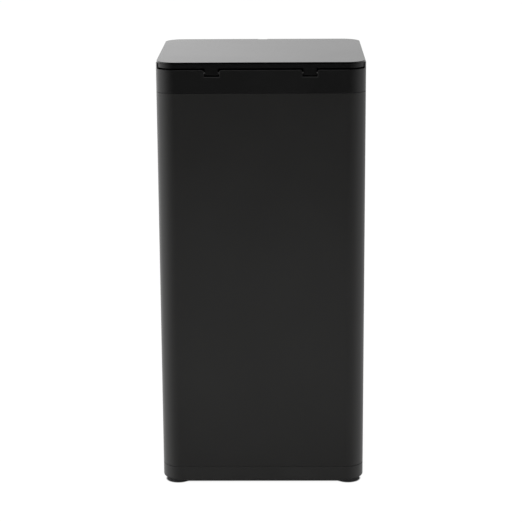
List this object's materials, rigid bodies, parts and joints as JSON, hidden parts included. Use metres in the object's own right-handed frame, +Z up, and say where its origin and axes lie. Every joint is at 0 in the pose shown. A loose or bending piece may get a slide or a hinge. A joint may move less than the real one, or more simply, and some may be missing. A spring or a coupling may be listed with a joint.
{
  "type": "manual trash compactor",
  "caption": "Tall free-standing compaction bin with a rounded sleeve, rear-hinged lid, folding compaction plate under the lid and a lift-out inner bucket.",
  "frame": {"origin": "on the floor, under the middle of the bin", "axes": "+Z up, -Y towards the front where the lid opens, +Y towards the lid hinge, +X to the right seen from the front"},
  "size_m": [0.336, 0.286, 0.71],
  "materials": {
    "sleeve_paint": "satin powder coat",
    "moulded_black": "fine satin",
    "lid_black": "fine satin",
    "base_plastic": "satin",
    "lid_gloss": "gloss",
    "bucket_plastic": "matte",
    "ring_plastic": "matte",
    "plate_plastic": "satin",
    "nylon": "satin",
    "soft_rubber": "matte",
    "steel": "zinc plated",
    "black_steel": "satin",
    "carbon_foam": "open foam"
  },
  "bodies": {
    "casing": {"base_moulding": "base_plastic", "body_sleeve": "sleeve_paint", "top_collar": "moulded_black", "inner_bucket": "bucket_plastic", "bag_ring": "ring_plastic", "strike_plate": "steel", "hinge_pin_left": "steel", "hinge_pin_right": "steel", "foot_1": "soft_rubber", "foot_2": "soft_rubber", "foot_3": "soft_rubber", "foot_4": "soft_rubber", "foot_screw_1": "steel", "foot_screw_2": "steel", "foot_screw_3": "steel", "foot_screw_4": "steel", "base_screw_1": "steel", "base_screw_2": "steel", "base_screw_3": "steel", "base_screw_4": "steel", "collar_screw_1": "steel", "collar_screw_2": "steel", "collar_screw_3": "steel", "collar_screw_4": "steel"},
    "lid": {"lid_top": "lid_gloss", "lid_under": "lid_black", "lid_seal": "soft_rubber", "carbon_filter": "carbon_foam", "catch_magnet": "black_steel", "lid_screw_1": "steel", "lid_screw_2": "steel", "lid_screw_3": "steel", "lid_screw_4": "steel", "slide_rail_left": "nylon", "slide_rail_right": "nylon", "rod_clip_left": "steel", "rod_clip_right": "steel", "rail_screw_left_1": "steel", "rail_screw_left_2": "steel", "rail_screw_right_1": "steel", "rail_screw_right_2": "steel", "pivot_rod": "steel"},
    "ram": {"compaction_plate": "plate_plastic", "plate_wiper": "soft_rubber"},
    "brace": {"brace_frame": "steel", "brace_glide_left": "nylon", "brace_glide_right": "nylon"},
    "filter_cap": {"filter_cap": "bucket_plastic"},
    "stow_bolt": {"stow_bolt": "nylon"}
  },
  "joints": [
    {"name": "lid_hinge", "type": "hinge", "parent": "casing", "child": "lid", "pos_m": [0, 0.1375, 0.6919], "axis": [-1, 0, 0], "range_deg": [0, 95]},
    {"name": "plate_hinge", "type": "hinge", "parent": "lid", "child": "ram", "pos_m": [0, 0.105, 0.69], "axis": [1, 0, 0], "range_deg": [0, 55]},
    {"name": "brace_hinge", "type": "hinge", "parent": "ram", "child": "brace", "pos_m": [0, 0.013, 0.69], "axis": [1, 0, 0], "range_deg": [-110, 0]},
    {"name": "filter_cap_twist", "type": "hinge", "parent": "lid", "child": "filter_cap", "pos_m": [0.075, -0.116, 0.69], "axis": [0, 0, 1], "range_deg": [0, 35]},
    {"name": "stow_bolt_slide", "type": "slide", "parent": "lid", "child": "stow_bolt", "axis": [0, 1, 0], "range_m": [0, 0.008]}
  ],
  "couplings": [
    {"joint": "brace_hinge", "follows": "plate_hinge", "ratio": -2}
  ]
}
